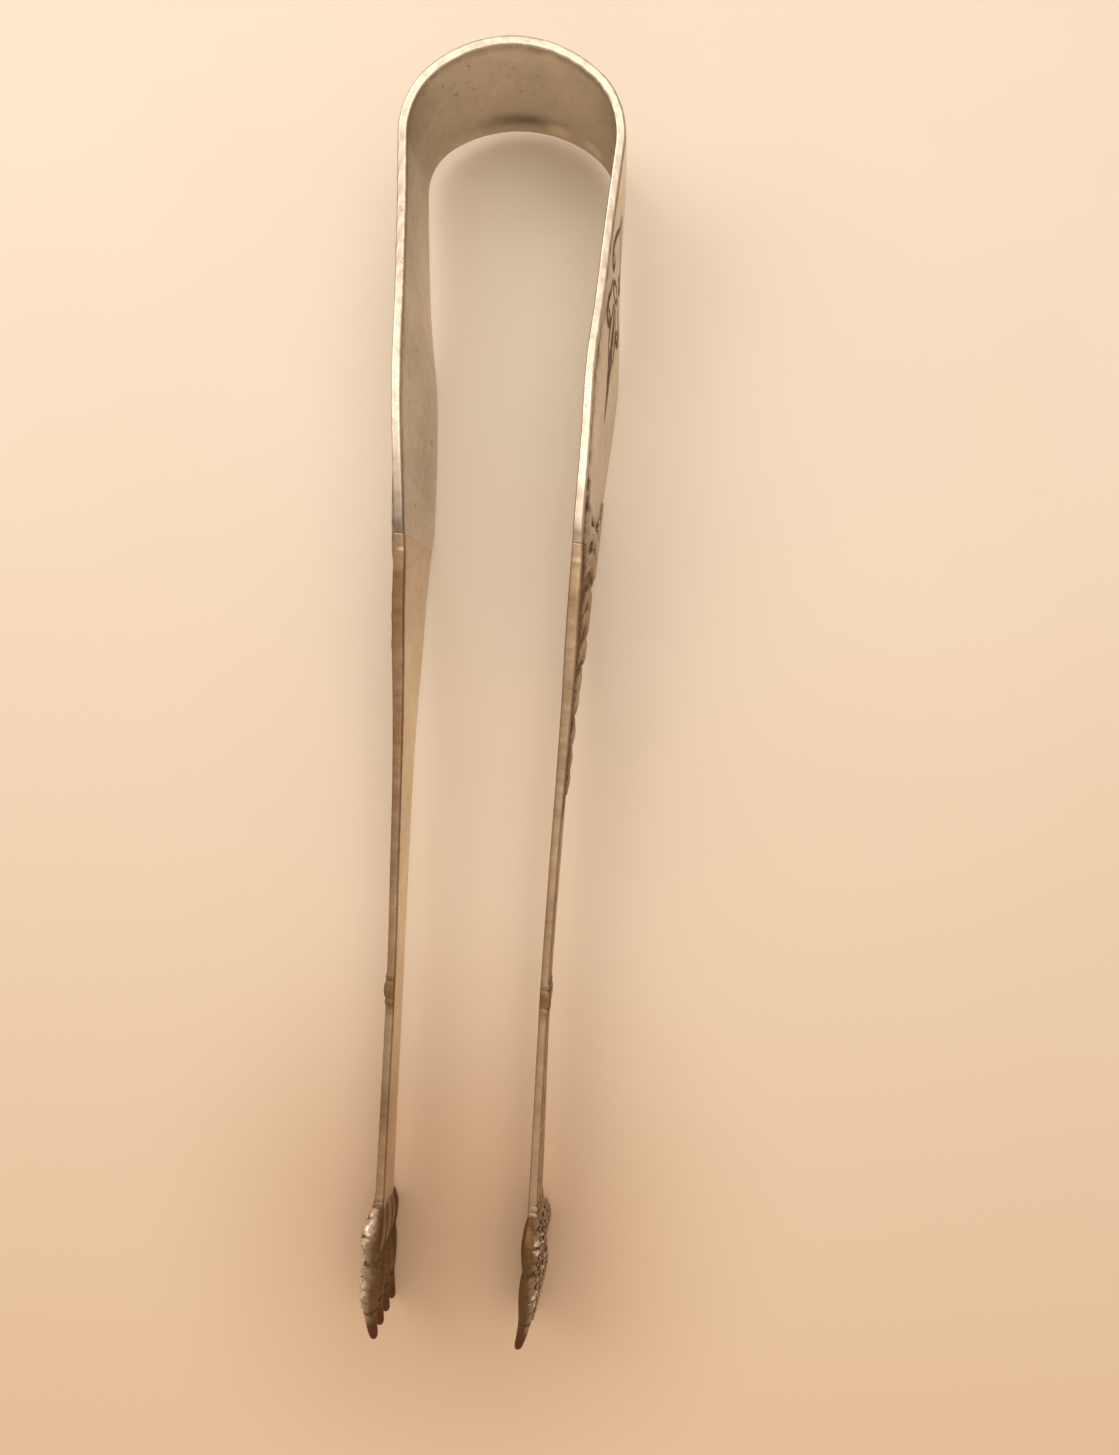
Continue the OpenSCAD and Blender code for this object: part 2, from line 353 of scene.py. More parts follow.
@dataclass(frozen=True)
class Ornament:
    """All the ornament of one side: an engraved cartouche on the bow, then raised scrolls and foliage
    down to the end of the relief, with cut rims along the edges and reeds down the stem."""

    scroll_h: float = 0.34
    leaf_h: float = 0.26
    leaf_pairs: int = 10
    leaf_top: float = 19.2
    leaf_pitch: float = 2.65
    ground_depth: float = 0.14
    cut_broad: float = 1.7

    def scrolls(self) -> list[Stroke]:
        """The two raised scrolls on each shoulder.

        Returns:
            One stroke for each scroll of both halves.
        """
        half = (
            (((22.6, 5.2), (20.6, 5.35), (18.4, 5.0), (16.3, 4.35), (15.1, 3.5), (15.3, 2.7), (16.1, 2.75),
              (16.1, 3.3)), (0.14, 0.36, 0.28)),
            (((20.6, 3.7), (19.0, 3.9), (17.9, 3.2), (18.2, 2.4), (18.9, 2.6)), (0.16, 0.3, 0.22)),
        )
        return [Stroke(tuple((y, sign * z) for y, z in points), width, self.scroll_h)
                for sign in (1, -1) for points, width in half]

    def cuts(self) -> list[Stroke]:
        """The engraved cartouche of the bow: paired scrolls round an oval eye, with a long tail below.

        Returns:
            Its strokes, whose height of 1 is full depth.
        """
        eye = [(41.3 + 0.72 * math.cos(a), 1.5 * math.sin(a)) for a in np.linspace(0.4, 6.7, 13)]
        half = (
            (((48.2, 0.3), (46.9, 0.7), (45.6, 2.3), (44.3, 3.4), (43.0, 3.5), (42.4, 2.6), (43.0, 1.9),
              (43.7, 2.4)), (0.3, 0.62, 0.4)),
            (((41.6, 2.2), (40.4, 2.7), (39.2, 3.6), (38.0, 3.5), (37.4, 2.6), (38.0, 2.0), (38.6, 2.6)),
             (0.3, 0.62, 0.4)),
            (((39.9, 0.8), (38.6, 1.2), (37.0, 1.6), (35.4, 1.3), (34.0, 0.5)), (0.25, 0.35, 0.15)),
        )
        tail = ((40.0, 0.0), (37.5, -0.1), (34.5, 0.1), (31.5, 0.0), (29.0, 0.0))
        lines = [(tuple((y, sign * z) for y, z in points), width)
                 for sign in (1, -1) for points, width in half]
        lines += [(tuple(eye), (0.42, 0.45, 0.42)), (tail, (0.4, 0.95, 0.15))]
        return [Stroke(points, width, 1.0, broad=self.cut_broad) for points, width in lines]

    def leaves(self) -> list[Stroke]:
        """The paired leaves and the husks down the arm, smaller and closer as the arm narrows.

        Returns:
            One stroke for each leaf and husk.
        """
        out = []
        for k in range(self.leaf_pairs):
            y = self.leaf_top - self.leaf_pitch * k + 0.45 * math.sin(2.3 * k)
            room = float(HALF_WIDTH(np.array([y - 1.5]))[0]) - 1.0
            length = 3.3 - 0.13 * k
            for sign in (1, -1):
                tip = (y - length * 0.86, sign * room * 0.92)
                mid = (y - length * 0.35, sign * room * 0.62)
                leaf = (0.16, 0.2 + 0.1 * room, 0.1)
                out.append(Stroke(((y, sign * 0.1), mid, tip), leaf, self.leaf_h, vein=True))
            husk = (0.14, 0.3 + 0.03 * room, 0.1)
            out.append(Stroke(((y + 0.5, 0.0), (y - 0.7, 0.0), (y - 2.1, 0.0)), husk, self.leaf_h, vein=True))
        return out

    def field(self, y: np.ndarray, z: np.ndarray, hw: np.ndarray) -> tuple[np.ndarray, np.ndarray]:
        """Height of the relief and how far each point lies in a recess.

        Args:
            y: rows by columns, positions along the arm in mm.
            z: the same, across it.
            hw: the same, half width of the strip at that row.

        Returns:
            Heights in mm and recess from 0 to 1, both rows by columns.
        """
        high = self.drawn(self.scrolls() + self.leaves(), y, z)
        cut = self.drawn(self.cuts(), y, z)
        a = np.abs(z)
        dome = np.clip(1 - (a / hw) ** 2, 0, 1)
        in_arm = smoothstep(-9.0, -7.4, y) * (1 - smoothstep(19.6, 20.8, y))
        in_arm = in_arm * (1 - smoothstep(0.62, 0.4, hw - a))
        in_bow = 1 - smoothstep(0.8, 0.95, np.sqrt(((y - 40.6) / 8.9) ** 2 + (a / 4.3) ** 2))
        ground = np.clip(in_arm + in_bow * 0.1, 0, 1)
        rim_on = smoothstep(-9.5, -7.0, y) * (1 - smoothstep(33.0, 38.5, y)) * np.sign(z).clip(0.4, 1)
        rim = np.exp(-((hw - a - 0.62) / 0.13) ** 2) * rim_on
        reed = np.exp(-((a - 0.62) / 0.13) ** 2) * (1 - smoothstep(-28.6, -27.6, y))
        swell = 0.22 * smoothstep(4.2, 7.5, y) * (1 - smoothstep(17.5, 21.5, y)) * dome
        stipple = 0.025 * np.sin(y * 21 + 2 * np.sin(z * 9)) * np.sin(z * 23 + 2 * np.sin(y * 7))
        height = (high + 0.1 * dome + swell - ground * (self.ground_depth + stipple) * (high < 0.02)
                  - 0.11 * rim - 0.13 * reed - 0.05 * cut)
        cavity = np.clip((self.blur(high) - high) * 11.0, 0, 1)
        # A patchy darker band along the upper edge of the outer face, fading out on the bow.
        band_patches = np.clip(0.45 + 0.4 * wobble(y, 4.1, 3) + 0.3 * wobble(y + 1.9 * z, 1.3, 4), 0, 1)
        band_patches *= 1 - smoothstep(38.5, 44.0, y)
        rubbed = 0.85 * np.exp(-((hw - z - 0.3) / 1.5) ** 2) * band_patches
        floor = 0.8 * ground * (high < 0.06)
        recess = np.clip(rubbed + floor + cavity + rim * 0.85 + reed * 0.75 + 1.3 * cut, 0, 1)
        return height, recess

    @staticmethod
    def drawn(strokes: Sequence[Stroke], y: np.ndarray, z: np.ndarray) -> np.ndarray:
        """Height field that holds only these strokes.

        Args:
            strokes: the lines to draw.
            y: rows by columns, positions along the arm in mm.
            z: the same, across it.

        Returns:
            Heights, rows by columns.
        """
        out = np.zeros(y.size)
        for stroke in strokes:
            stroke.add_to(y.ravel(), z.ravel(), out)
        return out.reshape(y.shape)

    @staticmethod
    def blur(values: np.ndarray, radius: int = 3) -> np.ndarray:
        """Mean of each value and its neighbours, taken along rows and then columns.

        Args:
            values: rows by columns.
            radius: how many neighbours count on each side.

        Returns:
            The means, rows by columns.
        """
        out = values
        for axis in (0, 1):
            pad = [(radius, radius) if k == axis else (0, 0) for k in (0, 1)]
            wide = np.pad(out, pad, mode="edge")
            out = sum(np.take(wide, np.arange(k, k + values.shape[axis]), axis=axis)
                      for k in range(2 * radius + 1)) / (2 * radius + 1)
        return out


ORNAMENT = Ornament()


# ---------------------------------------------------------------------------------------------------
# Meshes
# ---------------------------------------------------------------------------------------------------
@dataclass
class Skin:
    """Closed surface made of rows of one closed section, with values for its finish on every point."""

    points: np.ndarray
    marks: dict[str, np.ndarray] = field(default_factory=dict)

    def faces(self, flip: bool) -> tuple[list[tuple[int, ...]], np.ndarray]:
        """Quads between the rows, and a fan that closes each end.

        Args:
            flip: reverses every face, for a mirrored skin.

        Returns:
            The faces, and the points with the two end centres added.
        """
        rows, cols = self.points.shape[:2]
        flat = self.points.reshape(-1, 3)
        verts = np.vstack([flat, self.points[0].mean(axis=0), self.points[-1].mean(axis=0)])
        i = np.arange(rows - 1)[:, None] * cols
        j = np.arange(cols)[None, :]
        k = (j + 1) % cols
        quads = np.stack([i + j, i + k, i + cols + k, i + cols + j], axis=-1).reshape(-1, 4)
        out = [tuple(q) for q in quads.tolist()]
        first, last, base = rows * cols, rows * cols + 1, (rows - 1) * cols
        out += [(first, (c + 1) % cols, c) for c in range(cols)]
        out += [(last, base + c, base + (c + 1) % cols) for c in range(cols)]
        return [f[::-1] for f in out] if flip else out, verts


def make_object(name: str, skins: Sequence[Skin], side: Side, finish: bpy.types.Material) -> bpy.types.Object:
    """Builds one mesh object from right-hand skins, mirrored for the left, with its place in its mesh.

    Args:
        name: piece name.
        skins: the closed surfaces that make it up, in mm in the tongs' own frame.
        side: which half it belongs to.
        finish: material for all of it.

    Returns:
        The new object, at the origin.
    """
    verts: list[np.ndarray] = []
    faces: list[tuple[int, ...]] = []
    marks: dict[str, list[np.ndarray]] = {key: [] for key in MARKS}
    start = 0
    for skin in skins:
        own, pts = skin.faces(flip=side is Side.LEFT)
        faces += [tuple(i + start for i in f) for f in own]
        pts = BEND.apply(pts * np.array([side.value, 1, 1]), side)
        verts.append(pts)
        for key, store in marks.items():
            value = skin.marks.get(key, np.zeros(skin.points.shape[:2])).ravel()
            store.append(np.concatenate([value, [value[0], value[-1]]]))
        start += len(pts)
    mesh = bpy.data.meshes.new(name)
    mesh.from_pydata(LIE.place(np.vstack(verts)).tolist(), [], faces)
    for key, store in marks.items():
        layer = mesh.attributes.new(key, "FLOAT", "POINT")
        layer.data.foreach_set("value", np.concatenate(store).astype(np.float32))
    mesh.shade_smooth()
    mesh.validate()
    obj = link(name, mesh)
    mesh.materials.append(finish)
    if signed_volume(mesh) < 0:
        mesh.flip_normals()
        LOG.info("%s was turned the right way out", name)
    return obj


def link(name: str, data: bpy.types.ID) -> bpy.types.Object:
    """Puts a mesh, light or camera into the scene as a new object."""
    obj = bpy.data.objects.new(name, data)
    bpy.context.scene.collection.objects.link(obj)
    return obj


def signed_volume(mesh: bpy.types.Mesh) -> float:
    """Volume inside a closed mesh.

    Args:
        mesh: the mesh, with one or more closed skins.

    Returns:
        Cubic metres, negative where the faces point inwards.
    """
    mesh.calc_loop_triangles()
    co = np.empty(len(mesh.vertices) * 3, dtype=np.float32)
    mesh.vertices.foreach_get("co", co)
    tri = np.empty(len(mesh.loop_triangles) * 3, dtype=np.int32)
    mesh.loop_triangles.foreach_get("vertices", tri)
    p = co.reshape(-1, 3).astype(float)[tri.reshape(-1, 3)]
    return float(np.einsum("ij,ij->i", p[:, 0], np.cross(p[:, 1], p[:, 2])).sum() / 6)


@dataclass(frozen=True)
class StripSection:
    """Section of the strip: flat inside, rounded edges, and an outer face that carries the ornament."""

    inner_cols: int = 36
    edge_cols: int = 7
    outer_cols: int = 92
    edge_r: float = 0.27
    edge_darkening: float = 1.0  # how much darker the edges are
    bright_from: tuple[float, float] = (19.0, 23.0)  # stations over which the upper edge turns bright
    seam_y: float = 15.6  # solder seam, filed bright
    glints: tuple[tuple[float, float, float], ...] = ()  # painted highlights inside: distance, height, size
    # Film on the inner face, set darker as well to paint in the shade of the table that this face reflects.
    inner_film_and_shade: Profile = Profile((-48.0, -20.0, 0.0, 12.0, 20.0, 40.0, 48.0, 53.0, 58.5),
                                  (0.4, 0.26, 0.2, 0.28, 0.42, 0.44, 0.47, 0.56, 0.3))
    edge_tone: Profile = Profile((-48.0, -46.0, -29.0, -26.2, -23.5, -10.0, 12.0, 16.0, 19.5),
                                 (1.1, 0.72, 0.72, 1.1, 0.76, 0.82, 0.95, 0.72, 0.45))
    outer_tone: Profile = Profile((-48.0, -45.0, -29.0, -26.0, -23.0, -10.0, 14.0, 22.0, 60.0),
                                  (1.0, 0.6, 0.6, 1.0, 0.6, 0.55, 0.6, 0.35, 0.3))

    def skin(self, s: np.ndarray, thickness: np.ndarray, swell: np.ndarray, seed: int) -> Skin:
        """Sweeps the section along the plan line.

        Args:
            s: distance of each row from the crown.
            thickness: thickness of the strip at each row.
            swell: how far each row stands proud all round, as at a knop.
            seed: picks the small unevenness of the edges.

        Returns:
            The closed skin with its recess, polish and tone marks.
        """
        point, normal = PLAN.rows(s)
        y = point[:, 1]
        hw = HALF_WIDTH(y) + 0.35 * swell
        back, half = thickness / 2, thickness / 2 + swell
        upper = hw + 0.03 * wobble(s, 2.9, seed) + 0.008 * wobble(s, 1.1, seed + 1)
        lower = hw + 0.02 * wobble(s, 3.1, seed + 2) - 0.02
        r = np.minimum(self.edge_r, back * 0.85)
        a = np.linspace(0, math.pi / 2, self.edge_cols)
        seam = np.exp(-((y - self.seam_y) / 0.45) ** 2)
        bright = np.maximum(smoothstep(*self.bright_from, y + 0.6 * wobble(s, 1.7, seed + 5)), seam)
        dull = (self.bright_from[0] - StripSection.bright_from[0]) * smoothstep(12.0, 20.0, y)
        # the inner face's tone carries painted shade as well as film
        inner, outer = self.inner_film_and_shade(y), self.outer_tone(y)
        edge = self.edge_tone(y - dull) * self.edge_darkening
        columns: list[tuple[np.ndarray, np.ndarray, np.ndarray, np.ndarray]] = []

        def add(n: np.ndarray, z: np.ndarray, shine: float, tone: np.ndarray) -> None:
            """Adds one column of the section.

            Args:
                n: how far out of the middle line each row's point lies.
                z: how far across the strip it lies.
                shine: how bright the column is rubbed where the strip is bright.
                tone: how dark the film is on each row.
            """
            columns.append((n, z, shine * bright, tone))

        for t in np.linspace(-1, 1, self.inner_cols):
            add(-back, t * ((upper if t > 0 else lower) - r), 0.3 * (t > 0.99), inner)
        for k in a[1:]:
            add(-back + r * (1 - np.cos(k)), upper - r + r * np.sin(k), 0.15 + 0.33 * math.sin(k), edge)
        for k in a[::-1][:-1]:
            add(half - r * (1 - np.cos(k)), upper - r + r * np.sin(k), 0.02 + 0.46 * math.sin(k), edge)
        face = slice(len(columns), len(columns) + self.outer_cols)
        for t in np.linspace(1, -1, self.outer_cols):
            add(half.copy(), t * ((upper if t > 0 else lower) - r), 0.0, outer)
        for k in a[1:]:
            add(half - r * (1 - np.cos(k)), -lower + r - r * np.sin(k), 0.4, edge)
        for k in a[::-1][:-1]:
            add(-back + r * (1 - np.cos(k)), -lower + r - r * np.sin(k), 0.4, edge)
        n, z, shine, tone = (np.stack(values, 1) for values in zip(*columns))
        rows_y, rows_hw = (np.repeat(v[:, None], self.outer_cols, 1) for v in (y, hw))
        high, pit = ORNAMENT.field(rows_y, z[:, face], rows_hw)
        kept = smoothstep(0.0, 0.5, rows_hw - np.abs(z[:, face]) - r[:, None] + 0.02)
        kept = kept * (1 - smoothstep(0.05, 0.25, swell)[:, None])
        n[:, face] += high * kept
        recess = np.zeros_like(n)
        recess[:, face] = pit * kept
        self.soil_edges(recess, s, y, face.start, seed)
        groove = np.clip(np.gradient(np.gradient(swell, s), s) * 0.25, 0, 1)
        ringed = slice(face.start - 4, face.stop + 3)
        recess[:, ringed] = np.clip(recess[:, ringed] + groove[:, None], 0, 1)
        self.band_and_glints_inside(tone[:, :self.inner_cols], s, z[:, :self.inner_cols])
        x, y = (point[:, k, None] + normal[:, k, None] * n for k in (0, 1))
        return Skin(np.stack([x, y, z], axis=-1), {"recess": recess, "polish": shine, "tone": tone})

    def soil_edges(self, recess: np.ndarray, s: np.ndarray, y: np.ndarray, first_outer: int,
                   seed: int) -> None:
        """Lets dirt gather along both borders of the upper edge, more on the arms and round the crown.

        Args:
            recess: rows by columns, changed in place.
            s: distance of each row from the crown.
            y: station of each row.
            first_outer: first column of the outer face.
            seed: picks the small unevenness of the edges.
        """
        dirty = 1 - smoothstep(16.0, 21.0, y)
        worn = 0.55 + 0.3 * wobble(s, 2.3, seed + 7)
        soiled = smoothstep(35.0, 42.0, y + 1.5 * wobble(s, 3.1, seed + 8)) * (1 - smoothstep(50.0, 55.0, y))
        for back_by in range(2, self.edge_cols + 1):
            patchy = 0.6 + 0.5 * wobble(s + 0.4 * back_by, 2.1, seed + 9)
            recess[:, first_outer - back_by] = np.clip(soiled * patchy * (1 - 0.1 * back_by), 0, 1)
        borders = ((self.inner_cols, (0.3, 0.6, 0.35)), (first_outer, (0.5, 0.8, 0.85, 0.5, 0.25)))
        for at, amounts in borders:
            for col, amount in enumerate(amounts, start=at - 2):
                recess[:, col] = np.maximum(recess[:, col], amount * np.maximum(dirty, worn))

    def band_and_glints_inside(self, tone: np.ndarray, s: np.ndarray, z: np.ndarray) -> None:
        """Darkens a band inside the crown and paints the glints on as pale painted highlights.

        Args:
            tone: rows by columns of the inner face, changed in place.
            s: distance of each row from the crown.
            z: rows by columns, how far across the strip each point lies.
        """
        # a darker band low inside the crown
        tone += 0.6 * np.exp(-((s - 0.5) / 3.4) ** 2)[:, None] * np.exp(-(z + 4.3) ** 2)
        for at_s, at_z, size in self.glints:
            away = ((s[:, None] - at_s) / (1.5 * size)) ** 2 + ((z - at_z) / size) ** 2
            # painted highlights: thinner film, so paler metal, at each glint
            tone -= 0.75 * np.exp(-away)


def beads(y: np.ndarray, rings: Sequence[tuple[float, float, float]]) -> np.ndarray:
    """Swell of rounded rings round the stem.

    Args:
        y: station of each row.
        rings: centre, half width and height of each ring, in mm.

    Returns:
        How far each row stands proud.
    """
    out = np.zeros_like(y)
    for centre, half, height in rings:
        out = np.maximum(out, height * np.sqrt(np.clip(1 - ((y - centre) / half) ** 2, 0, 1)))
    return out


# ---------------------------------------------------------------------------------------------------
# Finishes
# ---------------------------------------------------------------------------------------------------
def colour(hex_code: str) -> tuple[float, float, float, float]:
    """Turns an sRGB hex colour into a linear one.

    Args:
        hex_code: six hex digits after a hash sign.

    Returns:
        Linear red, green, blue and full alpha.
    """
    parts = [int(hex_code[i:i + 2], 16) / 255 for i in (1, 3, 5)]
    r, g, b = (c / 12.92 if c <= 0.04045 else ((c + 0.055) / 1.055) ** 2.4 for c in parts)
    return (r, g, b, 1.0)


class Tree:
    """A node tree with short ways to add the nodes that the finishes share."""

    def __init__(self, tree: bpy.types.NodeTree) -> None:
        """Clears the tree.

        Args:
            tree: the node tree to fill.
        """
        self.tree = tree
        tree.nodes.clear()

    def add(self, kind: str, inputs: dict[str | int, object] | None = None,
            **settings: object) -> bpy.types.Node:
        """Adds a node with its settings and links.

        Args:
            kind: the node's type name.
            inputs: socket name or number to a value, or to an output socket that is linked to it.
            settings: the node's own properties.

        Returns:
            The new node.
        """
        node = self.tree.nodes.new(kind)
        for key, value in settings.items():
            setattr(node, key, value)
        for key, value in (inputs or {}).items():
            if isinstance(value, Socket):
                self.tree.links.new(value, node.inputs[key])
            else:
                node.inputs[key].default_value = value
        return node

    def mark(self, name: str) -> Socket:
        """Reads one of the marks that the pieces carry on their vertices."""
        return self.add("ShaderNodeAttribute", attribute_name=name).outputs["Fac"]

    def noise(self, where: Socket, size_mm: float, detail: float, roughness: float = 0.5) -> Socket:
        """Adds a noise.

        Args:
            where: the coordinates it lies on, in metres.
            size_mm: size of its largest patches.
            detail: how many finer layers it has.
            roughness: how strong those are.

        Returns:
            The noise, 0 to 1.
        """
        return self.add("ShaderNodeTexNoise", {"Vector": where, "Scale": 1 / (size_mm * MM), "Detail": detail,
                                               "Roughness": roughness}).outputs["Fac"]

    def calc(self, operation: str, *values: Operand, clamp: bool = False) -> Socket:
        """Does one operation on numbers and sockets.

        Args:
            operation: what to do, such as ADD or MULTIPLY_ADD.
            values: its operands, in order.
            clamp: whether the result stays within 0 and 1.

        Returns:
            The result.
        """
        node = self.add("ShaderNodeMath", dict(enumerate(values)), operation=operation, use_clamp=clamp)
        return node.outputs[0]

    def ramp(self, value: Socket, start: tuple[float, float] = (0.0, 1.0),
             to: tuple[Operand, Operand] = (0.0, 1.0), **settings: object) -> Socket:
        """Maps a value from one range to another.

        Args:
            value: what to map.
            start: two values of it.
            to: what these two become.
            settings: the node's own properties.

        Returns:
            The mapped value.
        """
        ends = {"From Min": start[0], "From Max": start[1], "To Min": to[0], "To Max": to[1]}
        return self.add("ShaderNodeMapRange", {"Value": value, **ends}, **settings).outputs[0]

    def mix(self, factor: Socket, under: Socket | str, over: str) -> Socket:
        """Lays one colour over another.

        Args:
            factor: how much of the upper one shows.
            under: the colour below, as a socket or an sRGB hex colour.
            over: the colour above, as an sRGB hex colour.

        Returns:
            The mixed colour.
        """
        below = colour(under) if isinstance(under, str) else under
        inputs = {"Factor": factor, 6: below, 7: colour(over)}
        return self.add("ShaderNodeMix", inputs, data_type="RGBA").outputs[2]

    def bump(self, height: Socket, strength: float, depth_mm: float,
             over: Socket | None = None) -> Socket:
        """Adds a layer of fine unevenness.

        Args:
            height: its pattern.
            strength: how much of it shows.
            depth_mm: how deep it is.
            over: the layer that it lies on.

        Returns:
            The bent normal.
        """
        inputs = {"Height": height, "Strength": strength, "Distance": depth_mm * MM}
        if over is not None:
            inputs["Normal"] = over
        return self.add("ShaderNodeBump", inputs).outputs[0]


def new_material(name: str) -> tuple[bpy.types.Material, Tree, Socket]:
    """Starts a node material on Object coordinates.

    Args:
        name: the material's name.

    Returns:
        The material, its empty tree, and the coordinates in metres.
    """
    material = bpy.data.materials.new(name)
    material.use_nodes = True
    t = Tree(material.node_tree)
    return material, t, t.add("ShaderNodeTexCoord").outputs["Object"]


@dataclass(frozen=True)
class SilverFinish:
    """Aged silver: rubbed bright on edges and high points, filmed on open faces, dark in the recesses."""

    name: str
    clean: str = "#eee0cb"  # rubbed metal
    film: str = "#84796c"  # tarnish on open faces
    sulphide: str = "#5a412b"  # sulphide and dirt in the recesses
    talon: str | None = None  # stain on the talons
    unevenness: float = 0.7  # how patchy the film is
    roughness: tuple[float, float] = (0.22, 0.5)  # where clean, and where filmed
    cloud_mm: float = 9.0  # patches of film
    grain_mm: float = 0.9  # specks
    pitted: tuple[float, float] = (0.63, 0.6)  # speck level at which pits start, and how dark they are
    scratch_mm: float = 0.35  # hairlines, drawn out along the strip
    dent_mm: float = 4.0  # shallow dents that bend the reflections

    def build(self) -> bpy.types.Material:
        """Makes the material.

        Returns:
            The node material, on Object coordinates and the piece's own marks.
        """
        material, t, where = new_material(self.name)
        speck = t.noise(where, self.grain_mm, 6.0, 0.7)
        film = self.filmed(t, where, speck)
        dirt = self.soiled(t, speck)
        worn = t.ramp(t.calc("MULTIPLY_ADD", speck, 1.3, t.mark("polish")), (0.98, 1.22))
        base = t.mix(worn, t.mix(film, self.clean, self.film), self.clean)
        base = t.mix(dirt, base, self.sulphide)
        if self.talon:
            base = t.mix(t.mark("talon"), base, self.talon)
        rough = t.calc("MULTIPLY_ADD", dirt, 0.35, t.ramp(film, to=self.roughness), clamp=True)
        metal = t.ramp(dirt, to=(1.0, 0.55))
        shader = t.add("ShaderNodeBsdfPrincipled", {"Base Color": base, "Metallic": metal, "Roughness": rough,
                                                    "Normal": self.uneven(t, where, speck)})
        t.add("ShaderNodeOutputMaterial", {"Surface": shader.outputs[0]})
        return material

    def filmed(self, t: Tree, where: Socket, speck: Socket) -> Socket:
        """How thick the film is: the piece's own tone, made patchy and specked.

        Args:
            t: the material's tree.
            where: coordinates in metres.
            speck: noise of the specks.

        Returns:
            The film, 0 to 1.
        """
        specks = 0.35
        cloud = t.noise(where, self.cloud_mm, 5.0, 0.6)
        drift = t.calc("MULTIPLY_ADD", cloud, self.unevenness, t.mark("tone"))
        drift = t.calc("MULTIPLY_ADD", speck, specks, drift)
        return t.calc("SUBTRACT", drift, (specks + self.unevenness) / 2, clamp=True)

    def soiled(self, t: Tree, speck: Socket) -> Socket:
        """How dark the dirt is: in the marked recesses, and in small pits all over.

        Args:
            t: the material's tree.
            speck: noise of the specks.

        Returns:
            The dirt, 0 to 1.
        """
        level, dark = self.pitted
        pit = t.ramp(speck, (level, level + 0.07), (0.0, dark))
        grime = t.calc("MULTIPLY", t.calc("MULTIPLY", t.mark("recess"), speck), 2.1, clamp=True)
        return t.calc("MAXIMUM", grime, pit, clamp=True)

    def uneven(self, t: Tree, where: Socket, speck: Socket) -> Socket:
        """Hairline scratches, then specks, then shallow dents.

        Args:
            t: the material's tree.
            where: coordinates in metres.
            speck: noise of the specks.

        Returns:
            The bent normal.
        """
        along = t.add("ShaderNodeMapping", {"Vector": where, "Scale": (1.0, 0.06, 1.0)}).outputs[0]
        fine = t.bump(t.noise(along, self.scratch_mm, 3.0, 0.6), 0.1, 0.05)
        mid = t.bump(speck, 0.3, 0.06, over=fine)
        return t.bump(t.noise(where, self.dent_mm, 2.0), 0.35, 0.35, over=mid)


# Hard-rolled sheet: even and only slightly wavy from the rolls, so the room shows in it as broad soft
# patches, under a thin grey-brown film that is rubbed away along the edge.
ROLLED_SILVER = SilverFinish("hard_rolled_silver")

# Cast and chased: softer and yellower, with tighter waves that break the reflections up. The ground
# between the leaves keeps its brown dirt, which draws the ornament.
CAST_SILVER = SilverFinish("cast_silver", clean="#ead8bf", film="#8a7053", sulphide="#6d5136",
                           roughness=(0.26, 0.5), dent_mm=2.5)

# The feet are cast too, and are set down the most: fine grain, more pits and darker dirt between the
# toes, with talons stained brown, so that each toe reads as a row of rubbed knuckles.
CLAW_SILVER = SilverFinish("cast_silver_foot", clean="#f2e2cf", film="#74593c", sulphide="#553d24",
                           talon="#6b4633", roughness=(0.26, 0.5), grain_mm=0.4, pitted=(0.56, 0.6),
                           dent_mm=1.2)


@dataclass(frozen=True)
class TableFinish:
    """Matt painted tabletop: faintly mottled cream, with painted shade that makes it darker and warmer
    towards the claws, and a painted shadow round them.

    It is rolled paint, so it has no gloss and takes only soft shadows, which leaves the silver to shine.
    """

    name: str = "painted_tabletop"
    light: str = "#e8e0d2"
    dark: str = "#e0d5c2"
    # painted shade: the colour that the tabletop darkens to towards the claws, where the light falls off
    falloff_shade: str = "#e0cab0"
    # colour of the painted shadow round the claws
    shade: str = "#bd9c7c"
    cloud_mm: float = 45.0
    falloff_shade_y: tuple[float, float] = (0.03, -0.07)
    # centre, reach and depth of the painted shadow round the claws
    feet: tuple[float, float, float] = (0.0, -0.052, 0.0)
    shade_reach: float = 0.036
    shade_depth: float = 0.75

    def build(self) -> bpy.types.Material:
        """Makes the material.

        Returns:
            The node material, on Object coordinates.
        """
        material, t, where = new_material(self.name)
        tone = t.mix(t.noise(where, self.cloud_mm, 3.0), self.light, self.dark)
        up = t.add("ShaderNodeSeparateXYZ", {0: where}).outputs["Y"]
        # Painted shade: the tabletop darkens and warms towards the claws, standing in for the light that
        # falls off there.
        tone = t.mix(t.ramp(up, self.falloff_shade_y), tone, self.falloff_shade)
        # Painted shadow: a soft brown patch round the claws, in place of a shadow cast over them.
        away = t.add("ShaderNodeVectorMath", {0: where, 1: self.feet}, operation="DISTANCE").outputs["Value"]
        near = t.ramp(away, (self.shade_reach, 0.0), (0.0, self.shade_depth), interpolation_type="SMOOTHSTEP")
        tone = t.mix(near, tone, self.shade)
        shader = t.add("ShaderNodeBsdfPrincipled", {"Base Color": tone, "Roughness": 0.6})
        t.add("ShaderNodeOutputMaterial", {"Surface": shader.outputs[0]})
        return material


